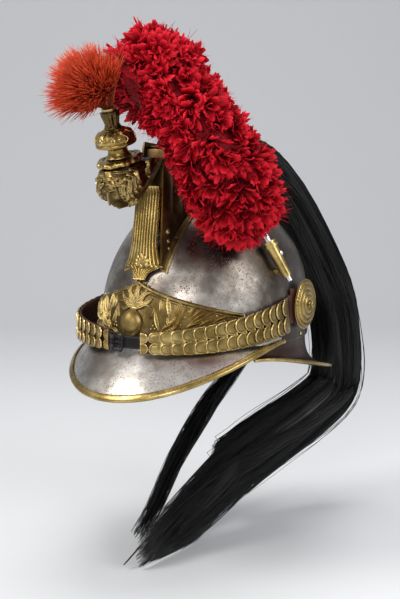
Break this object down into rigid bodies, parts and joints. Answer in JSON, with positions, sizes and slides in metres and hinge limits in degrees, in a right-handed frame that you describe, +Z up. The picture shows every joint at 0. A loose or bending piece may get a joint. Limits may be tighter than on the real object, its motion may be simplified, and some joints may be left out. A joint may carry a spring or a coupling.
{
  "type": "cavalry helmet",
  "caption": "Crested steel cavalry helmet with brass front plate, mask head, brush, plume, horsehair mane and scaled chin straps worn up over the visor.",
  "frame": {"origin": "centre of the head opening, in the plane of the skull's rim", "axes": "front of the helmet along -Y, wearer's left along +X, up along +Z"},
  "size_m": [0.2388, 0.4592, 0.5313],
  "materials": {
    "steel": "aged, finely pitted, semi gloss",
    "brass": "old gold, dark in the recesses, bright on the edges",
    "bright_metal": "satin",
    "blacked_iron": "black, worn",
    "neck_metal": "smooth dark reddish brown",
    "strap_leather": "worn, reddish edge",
    "black_leather": "worn",
    "liner_leather": "soft, matt",
    "lining_green": "matt",
    "cord": "twisted",
    "bristle": "stiff hair, orange red",
    "feather": "soft, bright red",
    "horsehair": "long hair, black, faint sheen"
  },
  "bodies": {
    "helmet": {"skull": "steel", "visor": "steel", "visor_binding": "brass", "visor_lining": "lining_green", "neck_guard": "neck_metal", "guard_binding": "brass", "guard_rivets": "brass", "front_plate": "brass", "grenade": "brass", "front_branches": "brass", "crest_left_side": "brass", "crest_right_side": "brass", "crest_front_plate": "brass", "crest_palmette": "brass", "crest_top_channel": "brass", "crest_screws": "brass", "mask_head": "brass", "mask_cap_band": "brass", "brush_cup": "brass", "brush_neck": "brass", "plume_socket": "brass", "socket_bracket": "brass", "socket_screws": "bright_metal", "mane_root": "horsehair", "rosette_left": "brass", "rosette_right": "brass", "rosette_stud_left": "steel", "rosette_stud_right": "steel", "liner_band": "liner_leather", "liner_tongues": "liner_leather", "liner_cord": "cord"},
    "brush_body": {"brush": "bristle", "brush_stem": "steel", "brush_ferrule": "brass"},
    "plume_body": {"plume": "feather", "plume_stem": "bright_metal"},
    "mane_tail_body": {"mane_tail": "horsehair"},
    "chin_loop": {"strap_tab_left": "strap_leather", "strap_tab_right": "strap_leather"},
    "left_strap": {"strap_leather_left": "strap_leather", "scales_left": "brass", "strap_tip_left": "brass", "chin_tongue": "black_leather"},
    "right_strap": {"strap_leather_right": "strap_leather", "scales_right": "brass", "strap_tip_right": "brass", "buckle_frame": "blacked_iron", "buckle_chape": "black_leather"},
    "prong": {"buckle_prong": "blacked_iron"}
  },
  "joints": [
    {"name": "chin_loop_lift", "type": "hinge", "parent": "helmet", "child": "chin_loop", "pos_m": [0, 0.029, 0.036], "axis": [-1, 0, 0], "range_deg": [0, 25]},
    {"name": "left_strap_open", "type": "hinge", "parent": "chin_loop", "child": "left_strap", "pos_m": [0.1, 0.0025, 0.03], "axis": [0, 0, 1], "range_deg": [0, 60]},
    {"name": "right_strap_open", "type": "hinge", "parent": "chin_loop", "child": "right_strap", "pos_m": [-0.1, 0.0025, 0.03], "axis": [0, 0, -1], "range_deg": [0, 60]},
    {"name": "buckle_prong_turn", "type": "hinge", "parent": "right_strap", "child": "prong", "pos_m": [-0.012, -0.1375, 0.01], "axis": [0, 0, -1], "range_deg": [0, 60]},
    {"name": "plume_lift", "type": "slide", "parent": "helmet", "child": "plume_body", "axis": [-0.4301, -0.2401, 0.8703], "range_m": [0, 0.02]},
    {"name": "brush_lift", "type": "slide", "parent": "helmet", "child": "brush_body", "axis": [0, -0.309, 0.9511], "range_m": [0, 0.02]},
    {"name": "mane_swing", "type": "hinge", "parent": "helmet", "child": "mane_tail_body", "pos_m": [0.054, 0.204, -0.062], "axis": [0, 0, 1], "range_deg": [-30, 75]}
  ],
  "couplings": [
    {"joint": "right_strap_open", "follows": "left_strap_open", "ratio": 1}
  ]
}
